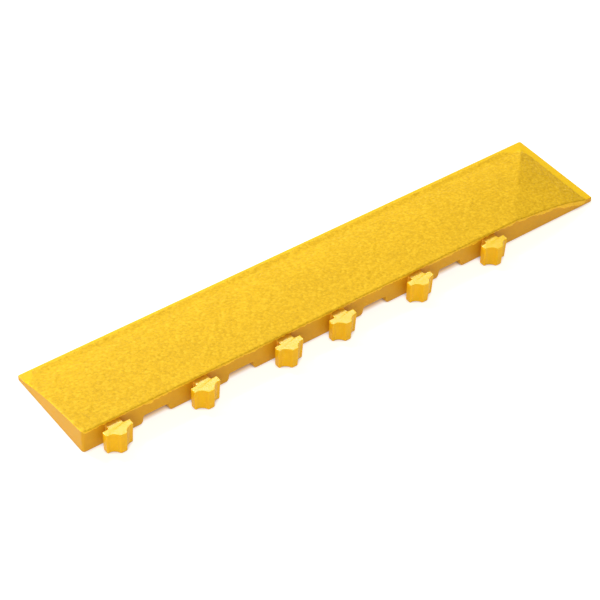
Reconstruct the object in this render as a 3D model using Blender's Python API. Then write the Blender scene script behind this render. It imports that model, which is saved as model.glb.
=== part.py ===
"""Interlocking edge ramp for modular floor tiles, right-hand corner version.

One flexible moulding bridges the step from the bare floor to the tiles: a crowned slope with a
hipped right end, a high wall with six interlock lugs, and a bonded grit coat on top. The moulding
is hollow underneath and stands on its walls, its lips and a row of cross ribs. It is modelled as
its functional pieces, with a hairline gap between neighbours.

Moulding coordinates: x runs along the wall from the square left end, y from the wall's outer face
to the thin lip, and z is up from the floor. The empty "edge_ramp_origin" moves all of it so that
the model's origin is at the centre of its footprint, on the floor.
"""
import math

import bmesh
import bpy
from mathutils import Matrix

# Driving dimensions, in metres.
TILE_SIDE = 0.4572          # side of the floor tile that the ramp borders
DIVISIONS = 16              # interlock divisions along one tile side
RUN = 0.1016                # from the wall's outer face to the thin lip
WALL_HEIGHT = 0.0236        # moulded height at the wall, without the grit
LUG_HEIGHT = 0.0204
LUG_REACH = 0.0179          # how far a lug stands out of the wall
GAP = 0.0003                # between neighbouring pieces

# Slope section.
LIP_EDGE = 0.0050           # height at the lip's rim
LIP_HEIGHT = 0.0054         # height where the slope starts to rise
LIP_ROUND = 0.0005          # bevel along the rim
BACK_LIP = 0.010            # flat width of the lip along the long side
END_LIP = 0.008             # flat width of the lip at the right end
END_RUN = 0.0976            # from the right end to the full height
END_BEYOND = 0.030          # its cutter rises on for this far, and is level from there
CROWN = 0.9                 # how much the slope bulges above a straight one
CROWN_POINTS = 12

# Shell.
SKIN = 0.0035               # thickness of the sloping skin
WALL = 0.008                # thickness of the interlock wall
END_WALL = 0.005            # thickness of the wall at the left end
SOLID_LIP = 0.018           # width over which the lips are solid
RIB = 0.003                 # thickness of a cross rib
CORNER = 0.0025             # radius of the wall's left corner and of the far right one
TIP = 0.0006                # and of the two sharper corners
CORNER_STEPS = 4

# Interlock pattern: places are counted in divisions from the pattern's zero.
PATTERN_ZERO = -0.0005      # the left end is trimmed this far into the pattern
LUG_DIVISIONS = (1, 4, 7, 9, 12, 15)
ARCH_DIVISIONS = (2.5, 5.5, 10.5, 13.5)
RIB_DIVISIONS = (1, 4, 7, 9, 12, 15, 17, 18)

# Lug outline, half of it: x from the lug's centre, d out from the wall.
NECK_HALF = 0.0066
HEAD_BACK = 0.00605         # the side lobes start here
HEAD_FRONT = 0.0121         # and end here
HEAD_HALF = 0.01245
VALLEY_HALF = 0.0092        # the valley between side lobe and tip starts here
VALLEY_DEPTH = 0.0009       # and is hollowed this far below a straight edge
VALLEY_STEPS = 4
TIP_HALF = 0.0034
LOBE_CHAMFER = 0.0006

# Arch under the wall.
ARCH_HALF = 0.01245
ARCH_HEIGHT = 0.0082
ARCH_DRAFT = 0.0006         # the jambs lean out by this much
FOOT_ROUND = 0.0026         # rounding of the wall's feet beside an arch

# Grit coat.
COAT = 0.0008
COAT_OVERHANG = 0.0004      # past the wall's outer face
COAT_INSET_LEFT = 0.0010
COAT_INSET_BACK = 0.0035
COAT_INSET_END = 0.0090
COAT_TIP_CUT = 0.0120       # the coat leaves the left tip bare
COAT_CORNER_BARE = 0.0240   # and the far right corner

MARGIN = 0.010              # how far cutters run past what they cut
ABOVE = 0.060               # top of the upright cutters
WELD = 0.000001             # vertices closer than this are one

LENGTH = TILE_SIDE + RUN
PITCH = TILE_SIDE / DIVISIONS
PLAN = Matrix.Identity(4)
ALONG_X = Matrix.Rotation(math.pi / 2, 4, "Z") @ Matrix.Rotation(math.pi / 2, 4, "X")
ALONG_Y = Matrix.Rotation(math.pi / 2, 4, "X")


def clear_scene():
    for thing in list(bpy.data.objects):
        bpy.data.objects.remove(thing)


def new_collection(name):
    collection = bpy.data.collections.new(name)
    bpy.context.scene.collection.children.link(collection)
    return collection


def plastic(name, colour, roughness):
    material = bpy.data.materials.new(name)
    material.use_nodes = True
    shader = material.node_tree.nodes["Principled BSDF"]
    shader.inputs["Base Color"].default_value = (*colour, 1)
    shader.inputs["Roughness"].default_value = roughness
    shader.inputs["Metallic"].default_value = 0
    return material


def prism(name, outline, low, high, turn):
    """A closed outline of (u, v) points, extruded from low to high along the third axis."""
    curve = bpy.data.curves.new(name, "CURVE")
    curve.dimensions = "2D"
    curve.fill_mode = "BOTH"
    curve.extrude = abs(high - low) / 2
    spline = curve.splines.new("POLY")
    spline.points.add(len(outline) - 1)
    for point, (u, v) in zip(spline.points, outline):
        point.co = (u, v, 0, 1)
    spline.use_cyclic_u = True
    flat = bpy.data.objects.new(name, curve)
    bpy.context.scene.collection.objects.link(flat)
    mesh = bpy.data.meshes.new_from_object(flat.evaluated_get(bpy.context.evaluated_depsgraph_get()))
    bpy.data.objects.remove(flat)
    mesh.name = name
    mesh.transform(turn @ Matrix.Translation((0, 0, (low + high) / 2)))
    shape = bmesh.new()
    shape.from_mesh(mesh)
    bmesh.ops.remove_doubles(shape, verts=shape.verts, dist=WELD)
    bmesh.ops.recalc_face_normals(shape, faces=shape.faces)
    shape.to_mesh(mesh)
    shape.free()
    return mesh


def arc(centre, radius, start, end, steps):
    """Points on a circle, from start to end degrees."""
    turns = [math.radians(start + (end - start) * step / steps) for step in range(steps + 1)]
    return [(centre[0] + radius * math.cos(turn), centre[1] + radius * math.sin(turn)) for turn in turns]


def plate(name, x_range, y_range, radii=(0, 0, 0, 0), foot=-MARGIN):
    """An upright block over a rectangle, whose corners are rounded by radii, from the front left
    corner anticlockwise."""
    (x0, x1), (y0, y1) = x_range, y_range
    corners = ((x0, y0, 1, 1, 180), (x1, y0, -1, 1, 270), (x1, y1, -1, -1, 0), (x0, y1, 1, -1, 90))
    outline = []
    for (x, y, inward_x, inward_y, start), radius in zip(corners, radii):
        if radius:
            outline += arc((x + inward_x * radius, y + inward_y * radius), radius, start, start + 90,
                           CORNER_STEPS)
        else:
            outline.append((x, y))
    return prism(name, outline, foot, ABOVE, PLAN)


def surface_height(share):
    """Height of the moulded surface, for a share of the way from the lip to the wall."""
    bulge = CROWN * share * max(1 - share, 0) ** 1.5
    return LIP_HEIGHT + (WALL_HEIGHT - LIP_HEIGHT) * (share + bulge)


def section(lip, run, beyond, rise, base):
    """A slope's section as (distance from its rim, height) points, anticlockwise from the rim's
    foot. It runs past the full height by the distance beyond, and rise lifts its top."""
    shares = [step / CROWN_POINTS for step in range(CROWN_POINTS + 1)]
    shares.append((run + beyond - lip) / (run - lip))
    top = [(lip + (run - lip) * share, surface_height(share) + rise) for share in shares]
    rim = [(0, base), (0, LIP_EDGE - LIP_ROUND + rise), (LIP_ROUND, LIP_EDGE + rise)]
    return rim + top + [(run + beyond, base)]


def slope(name, rise, base=0.0):
    """The long slope as an endless bar along x."""
    outline = [(RUN - d, z) for d, z in section(BACK_LIP, RUN, MARGIN, rise, base)]
    return prism(name, outline, -MARGIN, LENGTH + MARGIN, ALONG_X)


def end_slope(name, rise):
    """The right end's slope, as a bar along y that covers the whole length."""
    outline = [(LENGTH - d, z) for d, z in section(END_LIP, END_RUN, END_BEYOND, rise, -MARGIN)]
    foot = outline.pop()
    outline += [(-MARGIN, outline[-1][1]), (-MARGIN, foot[1])]
    return prism(name, outline, MARGIN, -RUN - MARGIN, ALONG_Y)


def hip_x(y):
    """Where the two slopes meet, at a distance y from the wall's face."""
    share = (RUN - y - BACK_LIP) / (RUN - BACK_LIP)
    return LENGTH - END_LIP - share * (END_RUN - END_LIP)


def division(count):
    return PATTERN_ZERO + PITCH * count


def lug_outline():
    """Three lobes on a neck, anticlockwise from the neck's foot, for a lug that points to -y."""
    start = (VALLEY_HALF, HEAD_FRONT)
    end = (TIP_HALF, LUG_REACH - LOBE_CHAMFER)
    chord = math.dist(start, end)
    across = ((end[1] - start[1]) / chord, (start[0] - end[0]) / chord)
    valley = []
    for step in range(VALLEY_STEPS + 1):
        share = step / VALLEY_STEPS
        dip = 4 * VALLEY_DEPTH * share * (1 - share)
        valley.append((start[0] + (end[0] - start[0]) * share - across[0] * dip,
                       start[1] + (end[1] - start[1]) * share - across[1] * dip))
    half = [(NECK_HALF, GAP), (NECK_HALF, HEAD_BACK), (HEAD_HALF, HEAD_BACK),
            (HEAD_HALF, HEAD_FRONT - LOBE_CHAMFER), (HEAD_HALF - LOBE_CHAMFER, HEAD_FRONT)]
    half += valley + [(TIP_HALF - LOBE_CHAMFER, LUG_REACH)]
    left = [(-x, -d) for x, d in half]
    right = [(x, -d) for x, d in reversed(half)]
    return left + right


def arch_outline():
    """The arch in the wall, as (x, z) points: leaning jambs with flared feet."""
    side = [(ARCH_HALF + ARCH_DRAFT + FOOT_ROUND, -MARGIN)]
    side += arc((ARCH_HALF + ARCH_DRAFT + FOOT_ROUND, FOOT_ROUND), FOOT_ROUND, 270, 180,
                CORNER_STEPS)
    side += arc((ARCH_HALF - CORNER / 2, ARCH_HEIGHT - CORNER / 2), CORNER / 2, 0, 90,
                CORNER_STEPS)
    return side + [(-x, z) for x, z in reversed(side)]


class Model:
    """Makes the named parts and their cutters, all under one empty."""

    def __init__(self, name, y_shift):
        self.parts = new_collection(name)
        self.cutters = new_collection(name + "_cutters")
        self.origin = bpy.data.objects.new(name + "_origin", None)
        self.origin.location = (-LENGTH / 2, y_shift, 0)
        self.parts.objects.link(self.origin)

    def cutter(self, mesh, *cuts):
        thing = bpy.data.objects.new(mesh.name, mesh)
        thing.parent = self.origin
        thing.hide_render = True
        thing.display_type = "WIRE"
        self.cutters.objects.link(thing)
        self.shape(thing, cuts)
        return thing

    def part(self, mesh, material, *cuts):
        thing = bpy.data.objects.new(mesh.name, mesh)
        thing.parent = self.origin
        thing.data.materials.clear()
        thing.data.materials.append(material)
        self.parts.objects.link(thing)
        self.shape(thing, cuts)
        return thing

    def shape(self, thing, cuts):
        """Each cut is an operation and the object that makes it."""
        for operation, tool in cuts:
            modifier = thing.modifiers.new(tool.name, "BOOLEAN")
            modifier.operation = operation
            modifier.solver = "EXACT"
            modifier.object = tool


def build_shell(model):
    """The sloping skin with its solid lips, the interlock wall and the left end wall."""
    end_top = model.cutter(end_slope("end_top", 0))
    end_under = model.cutter(end_slope("end_underside", -SKIN))
    hollow_plan = model.cutter(plate("hollow_plan", (-MARGIN, LENGTH - SOLID_LIP),
                                     (-MARGIN, RUN - SOLID_LIP)))
    hollow = model.cutter(slope("hollow", -SKIN, -MARGIN / 2),
                          ("INTERSECT", end_under), ("INTERSECT", hollow_plan))

    deck_plan = model.cutter(plate("deck_plan", (END_WALL + GAP, LENGTH), (WALL + GAP, RUN),
                                   (0, 0, CORNER, 0)))
    model.part(slope("deck_skin", 0), plastic("deck_yellow", (0.84, 0.49, 0.02), 0.45),
               ("INTERSECT", end_top), ("INTERSECT", deck_plan), ("DIFFERENCE", hollow))

    wall_plan = model.cutter(plate("wall_plan", (0, LENGTH), (0, WALL), (CORNER, TIP, 0, 0)))
    arches = []
    for number, count in enumerate(ARCH_DIVISIONS, 1):
        place = Matrix.Translation((division(count), 0, 0)) @ ALONG_Y
        mesh = prism("arch_%d" % number, arch_outline(), MARGIN, -WALL - MARGIN, place)
        arches.append(("DIFFERENCE", model.cutter(mesh)))
    model.part(slope("interlock_wall", 0), plastic("wall_yellow", (0.80, 0.44, 0.02), 0.42),
               ("INTERSECT", end_top), ("INTERSECT", wall_plan), *arches)

    left_plan = model.cutter(plate("left_end_plan", (0, END_WALL), (WALL + GAP, RUN),
                                   (0, 0, 0, TIP)))
    model.part(slope("left_end_wall", 0), plastic("end_yellow", (0.84, 0.47, 0.02), 0.42),
               ("INTERSECT", left_plan))


def build_ribs(model):
    """Cross ribs under the skin: one behind each lug, and two under the end slope."""
    end_rib = model.cutter(end_slope("end_rib_top", -SKIN - GAP))
    yellow = plastic("rib_yellow", (0.78, 0.42, 0.02), 0.5)
    for number, count in enumerate(RIB_DIVISIONS, 1):
        x = division(count)
        plan = model.cutter(plate("rib_plan_%d" % number, (x - RIB / 2, x + RIB / 2),
                                  (WALL + GAP, RUN - SOLID_LIP - GAP), foot=0))
        model.part(slope("cross_rib_%d" % number, -SKIN - GAP, -MARGIN), yellow,
                   ("INTERSECT", end_rib), ("INTERSECT", plan))


def build_lugs(model):
    """Six upright lugs that enter the loops of the floor tile."""
    yellow = plastic("lug_yellow", (0.93, 0.68, 0.12), 0.35)
    for number, count in enumerate(LUG_DIVISIONS, 1):
        mesh = prism("interlock_lug_%d" % number, lug_outline(), 0, LUG_HEIGHT,
                     Matrix.Translation((division(count), 0, 0)))
        model.part(mesh, yellow)


def build_coats(model):
    """The grit coat: one sheet on the long slope and one on the end slope, split at the hip."""
    end_inner = model.cutter(end_slope("end_coat_underside", GAP))
    end_outer = model.cutter(end_slope("end_coat_top", GAP + COAT))
    inner = model.cutter(slope("coat_underside", GAP, -MARGIN), ("INTERSECT", end_inner))
    front = -COAT_OVERHANG
    back = RUN - COAT_INSET_BACK
    bare_y = RUN - SOLID_LIP
    end_x = LENGTH - COAT_INSET_END
    half_gap = GAP * math.sqrt(0.5)
    outlines = {
        "grit_coat_slope": [
            (COAT_INSET_LEFT, front), (hip_x(front) - half_gap, front),
            (hip_x(bare_y) - half_gap, bare_y), (LENGTH - COAT_CORNER_BARE, back),
            (COAT_INSET_LEFT + COAT_TIP_CUT, back), (COAT_INSET_LEFT, back - COAT_TIP_CUT)],
        "grit_coat_end": [
            (hip_x(front) + half_gap, front), (end_x, front), (end_x, bare_y - COAT_INSET_BACK),
            (hip_x(bare_y) + half_gap, bare_y)],
    }
    grit = plastic("grit_yellow", (0.87, 0.55, 0.03), 0.85)
    for name, outline in outlines.items():
        plan = model.cutter(prism(name + "_plan", outline, -MARGIN, ABOVE, PLAN))
        model.part(slope(name, GAP + COAT), grit,
                   ("INTERSECT", plan), ("INTERSECT", end_outer), ("DIFFERENCE", inner))


clear_scene()
ramp = Model("edge_ramp", (LUG_REACH - RUN) / 2)
build_shell(ramp)
build_ribs(ramp)
build_lugs(ramp)
build_coats(ramp)
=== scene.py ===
"""Studio scene of the yellow interlocking edge ramp.

The moulding is made from the CAD nodes themselves: they are swollen until the hairline gaps between
them close, remeshed, and shrunk back, which leaves one flexible body with softly rounded edges. The
grit coat is a closed sheet that is laid over it: bonded crumbs over a faint raised tread pattern,
with a ragged edge that hangs over the top of the interlock wall.

In the frame, x runs along the interlock wall, y from the wall's lugs to the thin lip, and z is up.
"""
import math

import bmesh
import bpy
import numpy as np
from mathutils import Matrix, Vector
from mathutils.bvhtree import BVHTree


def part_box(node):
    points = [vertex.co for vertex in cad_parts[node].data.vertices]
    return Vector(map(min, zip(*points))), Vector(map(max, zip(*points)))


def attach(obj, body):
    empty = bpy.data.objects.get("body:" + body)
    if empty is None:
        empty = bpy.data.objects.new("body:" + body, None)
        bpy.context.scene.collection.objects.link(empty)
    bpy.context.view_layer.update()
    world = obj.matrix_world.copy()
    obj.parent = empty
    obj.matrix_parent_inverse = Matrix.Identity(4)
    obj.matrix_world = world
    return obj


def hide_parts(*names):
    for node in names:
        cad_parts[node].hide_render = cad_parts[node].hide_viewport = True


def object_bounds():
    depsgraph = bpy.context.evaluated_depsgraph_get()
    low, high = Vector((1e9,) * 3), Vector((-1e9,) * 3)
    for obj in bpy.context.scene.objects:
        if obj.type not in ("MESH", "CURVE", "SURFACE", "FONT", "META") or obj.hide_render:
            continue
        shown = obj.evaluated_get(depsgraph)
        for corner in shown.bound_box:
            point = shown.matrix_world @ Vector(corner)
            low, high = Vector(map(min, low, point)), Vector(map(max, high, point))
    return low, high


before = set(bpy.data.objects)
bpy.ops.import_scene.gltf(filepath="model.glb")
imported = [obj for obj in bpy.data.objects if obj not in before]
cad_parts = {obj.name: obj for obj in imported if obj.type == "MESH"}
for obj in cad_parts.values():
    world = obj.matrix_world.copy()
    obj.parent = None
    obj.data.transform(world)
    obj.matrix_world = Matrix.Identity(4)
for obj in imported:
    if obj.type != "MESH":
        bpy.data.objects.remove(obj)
cad_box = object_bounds()

MM = 0.001
BODY = "root"

# The moulding.
MERGE = 0.001 * MM          # vertices nearer than this are one
SWELL = 0.25 * MM           # closes the gaps of 0.3 mm between CAD nodes
SMOOTHING = 2               # passes over the remeshed edges
MOULDING_VOXEL = 0.6 * MM
MOULDING_KEPT = 0.2         # share of its faces that stays at the end
LUG_VOXEL = 0.4 * MM
LUG_KEPT = 0.5
LUG_ROOT = 0.8 * MM         # how far a lug's root runs into the wall
LUG_DRAFT = 2.8             # how fast a lug widens towards its top, as a share per metre
LUG_NARROW = 0.015          # how much narrower than the CAD it is at the floor, as a share
ROOT_SHADE_REACH = 6 * MM         # width of the painted shade at a lug's root, where the wall shades it

# The grit coat: a grid of columns along x and rows from the lip to the wall and down its face.
STEP = 0.85 * MM            # between the grid's lines
COAT = 0.35 * MM            # thickness between crumbs
CRUMB = 0.5 * MM            # height of the tallest crumbs
CRUMB_SPACING = 1.9 * MM
FINE_CRUMB = 0.15 * MM
FINE_SPACING = 1.2 * MM
SMALLEST_CRUMB = 0.45       # as a share of the largest
CRUMB_REACH = 0.95          # radius of a crumb, as a share of the spacing
COVER_SIZES = (14 * MM, 5 * MM)  # of the patches where crumbs are taller or lower
COVER_SHARES = (0.6, 0.4)
COVER_LEAST = 0.45          # crumb height where they are lowest, as a share
COVER_SPAN = 0.75
WAVE = 0.2 * MM             # height of slow waves in the coat
WAVE_SIZE = 30 * MM
SUNK = 0.5 * MM             # how deep the coat goes under the surface past its edge
FADE = 2.6 * MM             # width over which its edge thins out
RAGGED = ((2.5 * MM, 1.6 * MM), (9 * MM, 1.4 * MM))  # size and reach of its edge's wobbles
RIM = 0.7 * MM              # the coat's grid keeps this far from the moulding's rim
BOTTOM = 1.1 * MM           # depth of the sheet's hidden underside
FOLD = 0.45 * MM            # radius of the fold over the wall's top edge
FOLD_STEPS = 4
HANG_STEPS = 12             # rows down the wall's face; FOLD_STEPS + HANG_STEPS is a multiple of COARSE
HANG_STEP = 0.6 * MM
LOWEST = 0.4 * MM           # the hang's lowest row is at least this far above the floor
HANG = 1.9 * MM             # the least that the coat hangs down the wall
HANG_FRINGE = 1.7 * MM      # what a ragged fringe adds at most
FRINGE_SIZE = 1.8 * MM
HANG_DRIP = 2.6 * MM        # what rare wider drips add at most
DRIP_SIZE = 8 * MM
HANG_FADE = 1.1 * MM        # height over which the hang thins out
HANG_OUT = 0.25 * MM        # how much thicker the coat is where it hangs over the wall
SAG = 2.4 * MM              # how much further the coat hangs down near the right end
SAG_PLACE = (512 * MM, 562 * MM)
SAG_RAMP = 12 * MM
EDGE = 0.25 * MM            # from the moulding's left end to the first column
WALL_CORNER = 2.5 * MM      # radius of the wall's left corner
BARE_TIP = 12 * MM          # along both edges of the left tip that the coat leaves bare
BARE_CORNER = 17 * MM       # and of the far right corner
COARSE = 4                  # top cells to one cell of the underside
FINE_SHARE = 0.4            # of the fine crumbs in the tint

# The tread pattern under the grit.
TREAD_PITCH = 457.2 * MM / 16
TREAD_ROW = 26.6 * MM
TREAD_START = (19.5 * MM, 74.0 * MM)
TREAD_HALF = (9.0 * MM, 2.4 * MM)
TREAD_RISE = 0.35 * MM

# Base colours. The upright ones and the lugs' colour at the wall are painted shade; the grit's upright
# one is painted light.
MOULDING_LEVEL, MOULDING_SHADED_UPRIGHT = (0.94, 0.63, 0.010), (0.69, 0.355, 0.012)
LUG_LEVEL, LUG_SHADED_UPRIGHT, LUG_SHADED_AT_WALL = (0.96, 0.68, 0.020), (0.86, 0.48, 0.006), (1.0, 0.55, 0.06)
RIB_LEVEL, RIB_SHADED_UPRIGHT = (0.88, 0.50, 0.015), (0.84, 0.42, 0.012)
GRIT_DARK, GRIT_MIDDLE, GRIT_LIGHT = (0.70, 0.43, 0.008), (0.82, 0.52, 0.010), (0.93, 0.63, 0.026)
GRIT_UPRIGHT_PAINTED_LIGHT = (0.94, 0.56, 0.015)
MOULDING_ROUGHNESS, LUG_ROUGHNESS, RIB_ROUGHNESS = 0.40, 0.22, 0.5
MATT, GLOSSY = 0.2, 0.6     # specular level of a level face

# The studio's floor glows, with a painted shadow under the part and painted shade in the corners that
# the part makes with it.
FLOOR_SIZE = 8.0
FLOOR_HEIGHT = -0.2 * MM    # just under the moulding's base
GLOW = 0.78
PAINTED_SHADOW_WIDTH = 9 * MM                # from the part's edge inwards, to the darkest painted shadow
# how far the painted shade reaches from the corners between the part and the floor
CORNER_SHADE_REACH = 6 * MM
# colours of the painted shadow at the part's edge and under it
EDGE_PAINTED_SHADOW, UNDER_PAINTED_SHADOW = (0.70, 0.52, 0.34), (0.16, 0.06, 0.02)
# colour of the painted shade in the corners between the part and the floor
CORNER_PAINTED_SHADE = (0.16, 0.08, 0.03)
SKY, SKY_STRENGTH = (1.0, 0.80, 0.55), 0.44

SEED = 7

# The camera: its place, and the way it looks as degrees from +y to +x, below level and rolled.
CAMERA_PLACE = Vector((-0.8204, -0.9842, 1.1754))
CAMERA_ANGLES = (38.766, 42.844, 2.888)
LENS, SENSOR = 118.2, 36.0  # in millimetres, as Blender takes them


def moulding_place():
    """The moulding's left end, its wall's outer face, its right end and its lip."""
    low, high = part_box("interlock_wall")
    return low.x, low.y, high.x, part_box("deck_skin")[1].y


LEFT, WALL, RIGHT, LIP = moulding_place()


# Meshes.

def put_in_scene(name, mesh):
    thing = bpy.data.objects.new(name, mesh)
    bpy.context.scene.collection.objects.link(thing)
    return thing


def swell(mesh, distance):
    """Moves each vertex out along its normal, more at a sharp corner, so that faces move evenly."""
    shape = bmesh.new()
    shape.from_mesh(mesh)
    shape.normal_update()
    moves = [vertex.normal * distance * vertex.calc_shell_factor() for vertex in shape.verts]
    for vertex, move in zip(shape.verts, moves):
        vertex.co += move
    shape.to_mesh(mesh)
    shape.free()


def evaluated(thing):
    """The mesh that a thing's modifiers make, with the thing itself removed."""
    final = thing.evaluated_get(bpy.context.evaluated_depsgraph_get())
    mesh = bpy.data.meshes.new_from_object(final)
    bpy.data.objects.remove(thing)
    return mesh


def moulded(name, nodes, voxel, kept):
    """One soft-edged mesh from CAD nodes, of which the share kept of its faces stays at the end."""
    shape = bmesh.new()
    for node in nodes:
        shape.from_mesh(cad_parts[node].data)
    bmesh.ops.remove_doubles(shape, verts=shape.verts, dist=MERGE)
    mesh = bpy.data.meshes.new(name)
    shape.to_mesh(mesh)
    shape.free()
    swell(mesh, SWELL)
    rough = put_in_scene(name, mesh)
    remesh = rough.modifiers.new("fuse", "REMESH")
    remesh.mode = "VOXEL"
    remesh.voxel_size = voxel
    mesh = evaluated(rough)
    swell(mesh, -SWELL)
    soft = put_in_scene(name, mesh)
    smooth = soft.modifiers.new("soften", "SMOOTH")
    smooth.factor = 0.5
    smooth.iterations = SMOOTHING
    thin = soft.modifiers.new("thin", "DECIMATE")
    thin.ratio = kept
    soft = put_in_scene(name, evaluated(soft))
    soft.data.shade_smooth()
    level = soft.modifiers.new("level", "WEIGHTED_NORMAL")
    level.weight = 100
    return put_in_scene(name, evaluated(soft))


# Fields over the coat: x along the wall and y from its outer face, both from the moulding's corner.

def cloud(x, y, size, rng):
    """Smooth random values from 0 to 1, with features of about that size."""
    columns = int(np.ptp(x) / size) + 3
    rows = int(np.ptp(y) / size) + 3
    values = rng.random((columns + 1, rows + 1))
    u = (x - x.min()) / size
    v = (y - y.min()) / size
    i, j = np.floor(u).astype(int), np.floor(v).astype(int)
    u, v = u - i, v - j
    u, v = u * u * (3 - 2 * u), v * v * (3 - 2 * v)
    left = values[i, j] * (1 - v) + values[i, j + 1] * v
    right = values[i + 1, j] * (1 - v) + values[i + 1, j + 1] * v
    return left * (1 - u) + right * u


def crumbs(x, y, spacing, rng):
    """Height from 0 to 1 of the tallest crumb at each point, and that crumb's own random number."""
    columns = int(np.ptp(x) / spacing) + 5
    rows = int(np.ptp(y) / spacing) + 5
    centre = rng.random((columns, rows, 2))
    size = SMALLEST_CRUMB + (1 - SMALLEST_CRUMB) * rng.random((columns, rows))
    tint = rng.random((columns, rows))
    u = (x - x.min()) / spacing + 2
    v = (y - y.min()) / spacing + 2
    i, j = np.floor(u).astype(int), np.floor(v).astype(int)
    height = np.zeros(x.shape)
    colour = np.full(x.shape, 0.5)
    for di in (-1, 0, 1):
        for dj in (-1, 0, 1):
            a, b = i + di, j + dj
            across = (u - a - centre[a, b, 0]) ** 2 + (v - b - centre[a, b, 1]) ** 2
            dome = size[a, b] * np.sqrt(np.clip(1 - across / (CRUMB_REACH * size[a, b]) ** 2, 0, 1))
            higher = dome > height
            height = np.where(higher, dome, height)
            colour = np.where(higher, tint[a, b], colour)
    return height, colour


def tread(x, y):
    """Raised bars, turned alternately to both diagonals, on a square grid."""
    rise = np.zeros(x.shape)
    columns = range(-1, int((RIGHT - LEFT) / TREAD_PITCH) + 1)
    for i in columns:
        for k in range(-1, 4):
            centre_x = TREAD_START[0] + TREAD_PITCH * i
            centre_y = TREAD_START[1] - TREAD_ROW * k
            turn = math.radians(45 if (i + k) % 2 == 0 else -45)
            along = (x - centre_x) * math.cos(turn) + (y - centre_y) * math.sin(turn)
            across = (y - centre_y) * math.cos(turn) - (x - centre_x) * math.sin(turn)
            share = 1 - (along / TREAD_HALF[0]) ** 2 - (across / TREAD_HALF[1]) ** 2
            rise = np.maximum(rise, np.sqrt(np.clip(share, 0, 1)))
    return rise


def smoothstep(value):
    value = np.clip(value, 0, 1)
    return value * value * (3 - 2 * value)


def inside_coat(x, y):
    """Distance to the nearest edge of the coat, positive inside it, without its edge on the wall."""
    low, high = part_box("grit_coat_slope")
    left, back = low.x - LEFT, high.y - WALL
    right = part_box("grit_coat_end")[1].x - LEFT
    tip = (x - left + back - y - BARE_TIP) / math.sqrt(2)
    corner = (right - x + back - y - BARE_CORNER) / math.sqrt(2)
    return np.minimum.reduce([x - left, back - y, right - x, tip, corner])


def coat_lines():
    """The grid's columns, and its rows as distances from the wall's face and past the fold's start."""
    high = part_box("grit_coat_slope")[1]
    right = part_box("grit_coat_end")[1].x - LEFT + 2 * FADE
    back = min(high.y + 2 * FADE, LIP - RIM) - WALL
    columns = COARSE * round((right - EDGE) / STEP / COARSE)
    top_rows = COARSE * round((back - FOLD) / STEP / COARSE)
    x = np.linspace(EDGE, right, columns + 1)
    y = np.linspace(back, FOLD, top_rows + 1)
    return x, y


def fill(row):
    """Gives points that missed the moulding the value of the nearest one that met it."""
    met = np.flatnonzero(~np.isnan(row))
    return np.interp(np.arange(len(row)), met, row[met])


def coat_base(moulding):
    """For each point of the grid: its place on the moulding, the way out of it, and the distance
    along the section from the fold's start, which is below zero on the slope."""
    x, y = coat_lines()
    tree = BVHTree.FromObject(moulding, bpy.context.evaluated_depsgraph_get())
    down = Vector((0, 0, -1))
    top = cad_box[1][2] + FOLD
    height = np.empty((len(x), len(y)))
    for i, place_x in enumerate(x + LEFT):
        for j, place_y in enumerate(y + WALL):
            hit = tree.ray_cast(Vector((place_x, place_y, top)), down)[0]
            height[i, j] = hit.z if hit else np.nan
    height = np.apply_along_axis(fill, 0, height)
    rows = [(y[j], height[:, j], 0.0, 1.0, FOLD - y[j]) for j in range(len(y))]
    centre = height[:, -1] - FOLD
    for step in range(1, FOLD_STEPS + 1):
        turn = math.pi / 2 * step / FOLD_STEPS
        rows.append((FOLD - FOLD * math.sin(turn), centre + FOLD * math.cos(turn),
                     -math.sin(turn), math.cos(turn), FOLD * turn))
    for step in range(1, HANG_STEPS + 1):
        rows.append((0.0, np.maximum(centre - HANG_STEP * step, LOWEST), -1.0, 0.0,
                     FOLD * math.pi / 2 + HANG_STEP * step))
    shape = (len(x), len(rows))
    place = np.empty(shape + (3,))
    out = np.zeros(shape + (3,))
    along = np.empty(shape)
    before = np.clip(WALL_CORNER - x, 0, WALL_CORNER)
    round_off = WALL_CORNER - np.sqrt(WALL_CORNER ** 2 - before ** 2)
    for j, (row_y, row_z, out_y, out_z, distance) in enumerate(rows):
        place[:, j, 0] = x
        place[:, j, 1] = row_y + round_off * smoothstep(1 - row_y / (3 * WALL_CORNER))
        place[:, j, 2] = row_z
        out[:, j, 1] = out_y
        out[:, j, 2] = out_z
        along[:, j] = distance
    return place, out, along


def coat_relief(place, along):
    """The coat's thickness at each point of the grid, and two numbers for its material."""
    rng = np.random.default_rng(SEED)
    x = place[:, :, 0]
    height, tint = crumbs(x, along, CRUMB_SPACING, rng)
    fine, fine_tint = crumbs(x, along, FINE_SPACING, rng)
    cover = sum(share * cloud(x, along, size, rng) for size, share in zip(COVER_SIZES, COVER_SHARES))
    relief = CRUMB * height * (COVER_LEAST + COVER_SPAN * cover) + FINE_CRUMB * fine
    thick = COAT + relief + WAVE * cloud(x, along, WAVE_SIZE, rng)
    thick += TREAD_RISE * tread(x, place[:, :, 1]) * (along < 0)
    ragged = sum(reach * (cloud(x, along, size, rng) - 0.5) for size, reach in RAGGED)
    inside = smoothstep((inside_coat(x, place[:, :, 1]) + ragged) / FADE + 0.5)
    thick += HANG_OUT * smoothstep(along / FOLD)
    hang = HANG + HANG_FRINGE * cloud(x, 0 * x, FRINGE_SIZE, rng)
    hang += HANG_DRIP * cloud(x, 0 * x, DRIP_SIZE, rng) ** 4
    sag_start, sag_end = SAG_PLACE
    hang += SAG * smoothstep((x - sag_start) / SAG_RAMP) * smoothstep((sag_end - x) / SAG_RAMP)
    inside *= smoothstep((hang - along) / HANG_FADE)
    both_tints = (1 - FINE_SHARE) * tint + FINE_SHARE * fine_tint
    return thick * inside - SUNK * (1 - inside), both_tints, height


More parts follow.
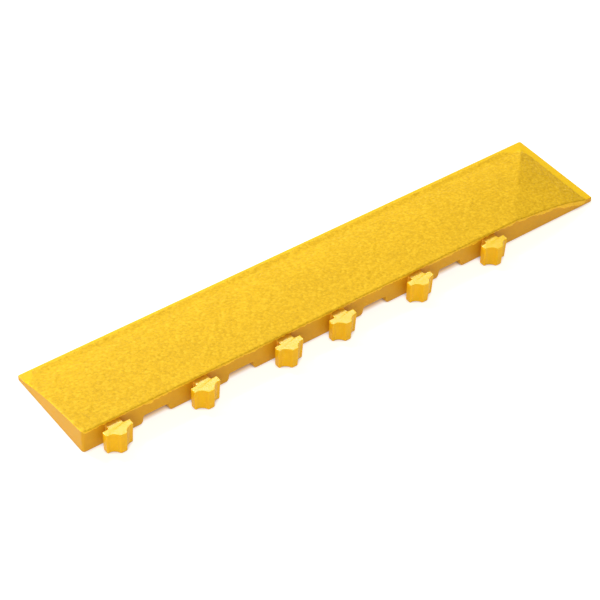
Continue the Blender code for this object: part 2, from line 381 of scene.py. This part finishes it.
def closed_sheet(name, top, bottom):
    """A closed mesh between a grid of top points and a coarser grid of bottom points under it."""
    columns, rows = top.shape[:2]
    low_columns, low_rows = bottom.shape[:2]
    count = columns * rows
    points = np.concatenate([top.reshape(-1, 3), bottom.reshape(-1, 3)])

    def upper(i, j):
        return i * rows + j

    def lower(i, j):
        return count + i * low_rows + j

    faces = []
    for i in range(columns - 1):
        for j in range(rows - 1):
            faces.append((upper(i, j), upper(i, j + 1), upper(i + 1, j + 1), upper(i + 1, j)))
    for i in range(low_columns - 1):
        for j in range(low_rows - 1):
            faces.append((lower(i, j), lower(i + 1, j), lower(i + 1, j + 1), lower(i, j + 1)))

    def skirt(fine, coarse):
        """Joins a fine edge to a coarse one. Both run with the sheet on their right."""
        for k in range(len(coarse) - 1):
            span = fine[COARSE * k:COARSE * (k + 1) + 1]
            faces.append((*span, coarse[k + 1], coarse[k]))

    last_i, last_j, low_i, low_j = columns - 1, rows - 1, low_columns - 1, low_rows - 1
    skirt([upper(i, 0) for i in range(columns)], [lower(i, 0) for i in range(low_columns)])
    skirt([upper(last_i, j) for j in range(rows)], [lower(low_i, j) for j in range(low_rows)])
    skirt([upper(i, last_j) for i in reversed(range(columns))],
          [lower(i, low_j) for i in reversed(range(low_columns))])
    skirt([upper(0, j) for j in reversed(range(rows))],
          [lower(0, j) for j in reversed(range(low_rows))])
    mesh = bpy.data.meshes.new(name)
    mesh.from_pydata(points.tolist(), [], faces)
    mesh.validate()
    mesh.shade_smooth()
    return mesh


def grit_coat(moulding):
    place, out, along = coat_base(moulding)
    thick, tint, height = coat_relief(place, along)
    corner = np.array((LEFT, WALL, 0.0))
    top = place + out * thick[:, :, None] + corner
    bottom = (place - out * BOTTOM + corner)[::COARSE, ::COARSE]
    mesh = closed_sheet("grit_coat", top, bottom)
    for name, values in (("crumb_tint", tint), ("crumb_height", height)):
        attribute = mesh.attributes.new(name, "FLOAT", "POINT")
        low = np.full(bottom.shape[0] * bottom.shape[1], 0.5)
        everywhere = np.concatenate([values.ravel(), low])
        attribute.data.foreach_set("value", everywhere.astype(np.float32))
    return put_in_scene("grit_coat", mesh)


# Materials.

class Shader:
    """A Principled material whose nodes are added one by one."""

    def __init__(self, name):
        self.material = bpy.data.materials.new(name)
        self.material.use_nodes = True
        self.tree = self.material.node_tree
        self.out = self.tree.nodes["Principled BSDF"]
        self.place = self.add("ShaderNodeTexCoord").outputs["Object"]

    def add(self, kind, inputs=None, **settings):
        node = self.tree.nodes.new(kind)
        for name, value in settings.items():
            setattr(node, name, value)
        for name, value in (inputs or {}).items():
            if isinstance(value, bpy.types.NodeSocket):
                self.tree.links.new(value, node.inputs[name])
            else:
                node.inputs[name].default_value = value
        return node

    def noise(self, size, detail=2.0, roughness=0.5):
        """Smooth noise, with features of about that size."""
        inputs = {"Vector": self.place, "Scale": 1 / size, "Detail": detail, "Roughness": roughness}
        return self.add("ShaderNodeTexNoise", inputs).outputs["Fac"]

    def rise(self):
        """1 where a face looks straight up, 0 where it is upright."""
        normal = self.add("ShaderNodeNewGeometry").outputs["Normal"]
        return self.add("ShaderNodeSeparateXYZ", {"Vector": normal}).outputs["Z"]

    def reach(self, value, start, end):
        """0 where a value is at its start, 1 where it is at its end."""
        inputs = {"Value": value, "From Min": start, "From Max": end, "To Min": 0.0, "To Max": 1.0}
        return self.add("ShaderNodeMapRange", inputs).outputs["Result"]

    def ramp(self, value, *stops):
        """Colours, or grey values, at places from 0 to 1."""
        node = self.add("ShaderNodeValToRGB", {"Fac": value})
        elements = node.color_ramp.elements
        while len(elements) < len(stops):
            elements.new(0.5)
        for element, (place, colour) in zip(elements, stops):
            element.position = place
            colour = colour if isinstance(colour, tuple) else (colour,) * 3
            element.color = (*colour, 1)
        return node.outputs["Color"]

    def mix(self, share, first, second, blend="MIX"):
        node = self.add("ShaderNodeMix", data_type="RGBA", blend_type=blend)
        sockets = (node.inputs[0], node.inputs[6], node.inputs[7])
        for socket, value in zip(sockets, (share, first, second)):
            if isinstance(value, bpy.types.NodeSocket):
                self.tree.links.new(value, socket)
            else:
                socket.default_value = value if socket == node.inputs[0] else (*value, 1)
        return node.outputs[2]

    def bump(self, height, distance, strength=1.0, below=None):
        inputs = {"Height": height, "Distance": distance, "Strength": strength}
        if below is not None:
            inputs["Normal"] = below
        return self.add("ShaderNodeBump", inputs).outputs["Normal"]

    def drive(self, **sockets):
        """Links or sets the Principled shader's inputs."""
        for name, value in sockets.items():
            socket = self.out.inputs[name.replace("_", " ").title().replace("Ior", "IOR")]
            if isinstance(value, bpy.types.NodeSocket):
                self.tree.links.new(value, socket)
            else:
                socket.default_value = value


def plastic(name, level, upright, roughness, gloss=MATT, shade_at_wall=None):
    """Flexible moulded PVC: slightly mottled, with a fine matt grain and faint flow marks. Upright
    faces get painted shade: a deeper, more orange copy of the level colour. shade_at_wall is painted
    shade at the wall, the colour where the wall shades the root of a piece that stands out of it."""
    shader = Shader(name)
    rise = shader.rise()
    broad = shader.noise(45 * MM, 3.0)
    mottle = shader.noise(5 * MM, 4.0, 0.6)
    grain = shader.noise(0.45 * MM, 2.0)
    flow = shader.noise(1.6 * MM, 1.0)
    # Painted shade: faces go from the shaded upright colour to the lit level one as they turn up.
    colour = shader.mix(shader.ramp(rise, (0.25, 0.0), (0.85, 1.0)), upright, level)
    # Painted shade at the wall, where the wall shades the root of a lug.
    if shade_at_wall:
        y = shader.add("ShaderNodeSeparateXYZ", {"Vector": shader.place}).outputs["Y"]
        colour = shader.mix(shader.reach(y, WALL - ROOT_SHADE_REACH, WALL), colour, shade_at_wall)
    colour = shader.mix(1.0, colour, shader.ramp(broad, (0.35, 0.94), (0.65, 1.0)), "MULTIPLY")
    shade = shader.ramp(mottle, (0.3, 0.93), (0.7, 1.0))
    shader.drive(base_color=shader.mix(1.0, colour, shade, "MULTIPLY"),
                 roughness=shader.ramp(mottle, (0.3, roughness - 0.06), (0.7, roughness + 0.08)),
                 normal=shader.bump(grain, 0.05 * MM, 0.5, shader.bump(flow, 0.08 * MM, 0.4)),
                 specular_ior_level=shader.ramp(rise, (0.4, 0.1), (0.9, gloss)),
                 subsurface_weight=0.12, subsurface_scale=3 * MM)
    shader.out.inputs["Subsurface Radius"].default_value = (1.0, 0.45, 0.08)
    return shader.material


def grit():
    """Bonded grit: crumbs of slightly different yellows in a yellow coating, matt on their crests, with
    painted shade in the hollows between them and painted light on upright faces.
    """
    shader = Shader("bonded_grit")
    tint = shader.add("ShaderNodeAttribute", attribute_name="crumb_tint").outputs["Fac"]
    crest = shader.add("ShaderNodeAttribute", attribute_name="crumb_height").outputs["Fac"]
    speck = shader.noise(0.9 * MM, 3.0, 0.65)
    broad = shader.noise(35 * MM, 4.0)
    colour = shader.ramp(tint, (0.0, GRIT_DARK), (0.5, GRIT_MIDDLE), (1.0, GRIT_LIGHT))
    # Painted light: the coat's upright faces over the wall get a brighter colour, where less light
    # falls on them.
    colour = shader.mix(shader.ramp(shader.rise(), (0.2, 1.0), (0.85, 0.0)), colour, GRIT_UPRIGHT_PAINTED_LIGHT)
    fleck = shader.ramp(speck, (0.34, 0.80), (0.48, 0.96), (0.66, 1.0))
    colour = shader.mix(1.0, colour, fleck, "MULTIPLY")
    # Painted shade: darker in the hollows between crumbs.
    hollow_shade = shader.ramp(crest, (0.0, 0.90), (0.5, 1.0))
    colour = shader.mix(1.0, colour, hollow_shade, "MULTIPLY")
    patch = shader.ramp(broad, (0.35, 0.95), (0.65, 1.0))
    colour = shader.mix(1.0, colour, patch, "MULTIPLY")
    shader.drive(base_color=colour, roughness=shader.ramp(speck, (0.3, 0.50), (0.7, 0.75)),
                 specular_ior_level=0.2, normal=shader.bump(speck, 0.2 * MM, 0.6))
    return shader.material


def dress(thing, material):
    thing.data.materials.clear()
    thing.data.materials.append(material)


# Pieces.

def build_moulding():
    nodes = ("deck_skin", "interlock_wall", "left_end_wall")
    moulding = moulded("ramp_moulding", nodes, MOULDING_VOXEL, MOULDING_KEPT)
    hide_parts(*nodes)
    yellow = plastic("moulded_yellow", MOULDING_LEVEL, MOULDING_SHADED_UPRIGHT, MOULDING_ROUGHNESS)
    dress(moulding, yellow)
    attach(moulding, BODY)
    return moulding


def build_lugs():
    yellow = plastic("lug_yellow", LUG_LEVEL, LUG_SHADED_UPRIGHT, LUG_ROUGHNESS, GLOSSY, LUG_SHADED_AT_WALL)
    for node in sorted(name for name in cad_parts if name.startswith("interlock_lug")):
        lug = moulded(node.replace("interlock", "rounded"), (node,), LUG_VOXEL, LUG_KEPT)
        for vertex in lug.data.vertices:
            if vertex.co.y > WALL - LUG_ROOT:
                vertex.co.y += LUG_ROOT
        draft(lug.data)
        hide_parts(node)
        dress(lug, yellow)
        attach(lug, BODY)


def draft(mesh):
    """Widens a lug slightly towards its top, as it was drawn from its mould."""
    middle = sum(vertex.co.x for vertex in mesh.vertices) / len(mesh.vertices)
    for vertex in mesh.vertices:
        vertex.co.x += (vertex.co.x - middle) * (LUG_DRAFT * vertex.co.z - LUG_NARROW)


def finish_ribs():
    yellow = plastic("rib_yellow", RIB_LEVEL, RIB_SHADED_UPRIGHT, RIB_ROUGHNESS)
    for name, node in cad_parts.items():
        if name.startswith("cross_rib"):
            node.data.materials.clear()
            node.data.materials.append(yellow)


def build_coat(moulding):
    coat = grit_coat(moulding)
    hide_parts("grit_coat_slope", "grit_coat_end")
    dress(coat, grit())
    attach(coat, BODY)


# Studio.

def plane(name, size, height):
    shape = bmesh.new()
    bmesh.ops.create_grid(shape, x_segments=1, y_segments=1, size=size / 2)
    mesh = bpy.data.meshes.new(name)
    shape.to_mesh(mesh)
    shape.free()
    thing = put_in_scene(name, mesh)
    thing.location.z = height
    return thing


def build_floor():
    """A floor that can't be seen from below, so that a view from there shows the part."""
    floor = plane("studio_floor", FLOOR_SIZE, FLOOR_HEIGHT)
    shader = Shader("studio_white")
    tone = shader.noise(0.4, 2.0)
    place = shader.add("ShaderNodeSeparateXYZ", {"Vector": shader.place})
    # Painted shadow: the floor and its glow are darkened under the part's footprint, more with distance
    # in from each edge.
    under = 1.0
    for axis, edge, inwards in (("X", LEFT, 1), ("X", RIGHT, -1), ("Y", WALL, 1), ("Y", LIP, -1)):
        side = shader.reach(place.outputs[axis], edge, edge + inwards * PAINTED_SHADOW_WIDTH)
        under = shader.add("ShaderNodeMath", {0: side, 1: under}, operation="MULTIPLY").outputs[0]
    # Painted shade in the corners between the part and the floor, from an ambient occlusion node.
    corner = shader.add("ShaderNodeAmbientOcclusion", {"Distance": CORNER_SHADE_REACH}, samples=16)
    painted_shadow = shader.ramp(under, (0.1, 1.0), (0.5, EDGE_PAINTED_SHADOW), (0.95, UNDER_PAINTED_SHADOW))
    corner_shade = shader.ramp(corner.outputs["AO"], (0.1, CORNER_PAINTED_SHADE), (0.7, 1.0))
    painted_shadow = shader.mix(1.0, painted_shadow, corner_shade, "MULTIPLY")
    white = shader.ramp(tone, (0.3, 0.60), (0.7, 0.62))
    behind = shader.add("ShaderNodeNewGeometry").outputs["Backfacing"]
    shader.drive(base_color=shader.mix(1.0, white, painted_shadow, "MULTIPLY"), roughness=0.9,
                 emission_color=painted_shadow, emission_strength=GLOW,
                 alpha=shader.ramp(behind, (0.0, 1.0), (1.0, 0.0)))
    floor.data.materials.append(shader.material)


def softbox(name, place, size, power):
    """A rectangle of light that is aimed at the part's middle."""
    data = bpy.data.lights.new(name, "AREA")
    data.shape = "RECTANGLE"
    data.size, data.size_y = size
    data.energy = power
    light = bpy.data.objects.new(name, data)
    bpy.context.scene.collection.objects.link(light)
    light.location = place
    light.rotation_euler = (-Vector(place)).to_track_quat("-Z", "Y").to_euler()


def build_light():
    softbox("key_softbox", place=(-0.6, 1.4, 1.5), size=(0.5, 0.5), power=38)
    softbox("sheen_softbox", place=(0.90, 1.45, 1.87), size=(1.2, 0.5), power=9)
    softbox("fill_softbox", place=(-1.5, -1.3, 0.6), size=(0.9, 0.9), power=9)
    world = bpy.data.worlds.new("studio")
    world.use_nodes = True
    sky = world.node_tree.nodes["Background"]
    sky.inputs["Color"].default_value = (*SKY, 1)
    sky.inputs["Strength"].default_value = SKY_STRENGTH
    bpy.context.scene.world = world
    bpy.context.scene.view_settings.view_transform = "Standard"


def build_camera():
    data = bpy.data.cameras.new("camera")
    data.lens = LENS
    data.sensor_width = SENSOR
    camera = bpy.data.objects.new("camera", data)
    bpy.context.scene.collection.objects.link(camera)
    azimuth, elevation, roll = (math.radians(angle) for angle in CAMERA_ANGLES)
    turn = (Matrix.Rotation(-azimuth, 4, "Z") @ Matrix.Rotation(math.pi / 2 - elevation, 4, "X")
            @ Matrix.Rotation(roll, 4, "Z"))
    camera.matrix_world = Matrix.Translation(CAMERA_PLACE) @ turn
    bpy.context.scene.camera = camera


build_camera()
ramp = build_moulding()
build_lugs()
finish_ribs()
build_coat(ramp)
build_floor()
build_light()
